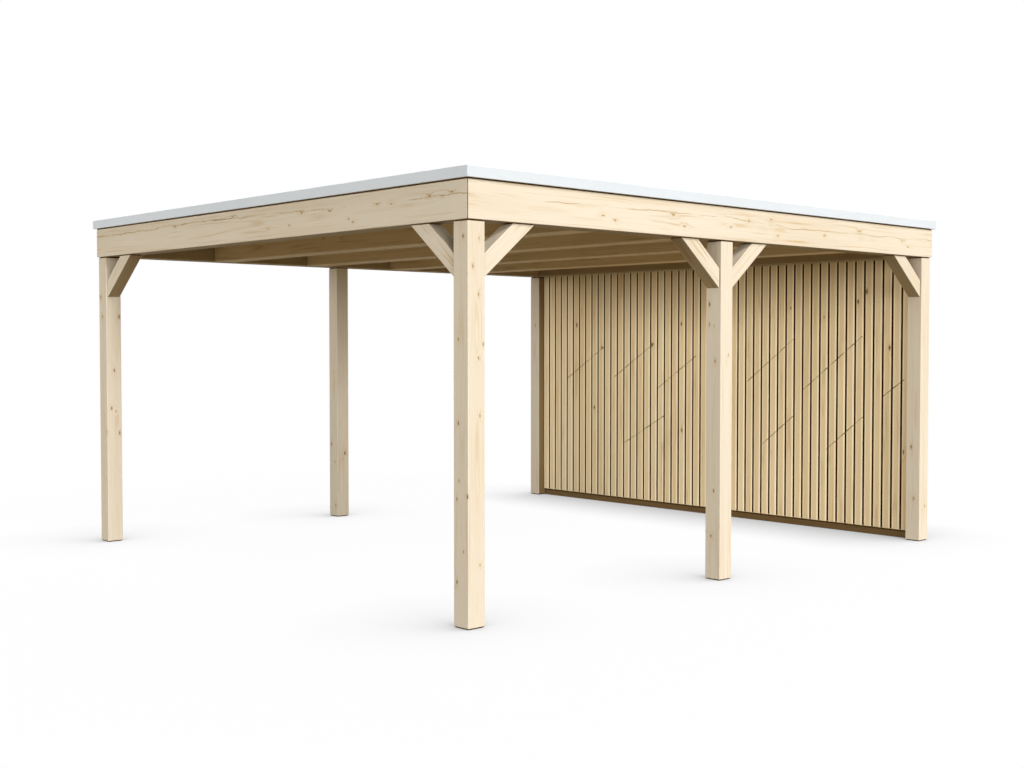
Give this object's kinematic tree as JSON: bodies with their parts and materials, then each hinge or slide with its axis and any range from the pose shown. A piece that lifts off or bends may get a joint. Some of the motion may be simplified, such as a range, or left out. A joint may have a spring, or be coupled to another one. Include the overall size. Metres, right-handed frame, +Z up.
{
  "type": "flat-roofed timber carport",
  "caption": "Open timber carport with square posts, knee braces, a ring of beams, cross rafters, a boarded back wall and a flat roof with a pale metal edge.",
  "frame": {"origin": "on the floor, under the middle of the roof", "axes": "+Z up, the entrance faces -Y and the boarded wall closes the +Y end, so +X is to the right of someone looking in from the entrance"},
  "size_m": [4.42, 4.8, 2.48],
  "materials": {
    "planed_timber": "planed softwood, untreated",
    "sawn_timber": "sawn softwood, brown stained",
    "wall_boarding": "planed boards, tongued together",
    "roof_boarding": "planed boards",
    "roof_membrane": "matt sheet",
    "edge_trim": "satin coated sheet"
  },
  "bodies": {
    "root": {"back_wall_boards": "wall_boarding", "back_wall_middle_rail": "sawn_timber", "back_wall_sole_plate": "sawn_timber", "back_wall_top_rail": "sawn_timber", "front_beam": "planed_timber", "front_kerb": "sawn_timber", "front_left_inward_brace": "planed_timber", "front_left_post": "planed_timber", "front_right_inward_brace": "planed_timber", "front_right_post": "planed_timber", "front_right_side_brace": "planed_timber", "front_roof_edge_trim": "edge_trim", "left_beam": "planed_timber", "left_kerb": "sawn_timber", "left_roof_edge_trim": "edge_trim", "middle_left_post": "planed_timber", "middle_right_front_brace": "planed_timber", "middle_right_post": "planed_timber", "middle_right_rear_brace": "planed_timber", "rafter_1": "planed_timber", "rafter_2": "planed_timber", "rafter_3": "planed_timber", "rafter_4": "planed_timber", "rear_beam": "planed_timber", "rear_kerb": "sawn_timber", "rear_left_post": "planed_timber", "rear_right_post": "planed_timber", "rear_right_side_brace": "planed_timber", "rear_roof_edge_trim": "edge_trim", "right_beam": "planed_timber", "right_kerb": "sawn_timber", "right_roof_edge_trim": "edge_trim", "roof_deck": "roof_boarding", "roof_membrane": "roof_membrane"}
  },
  "joints": []
}
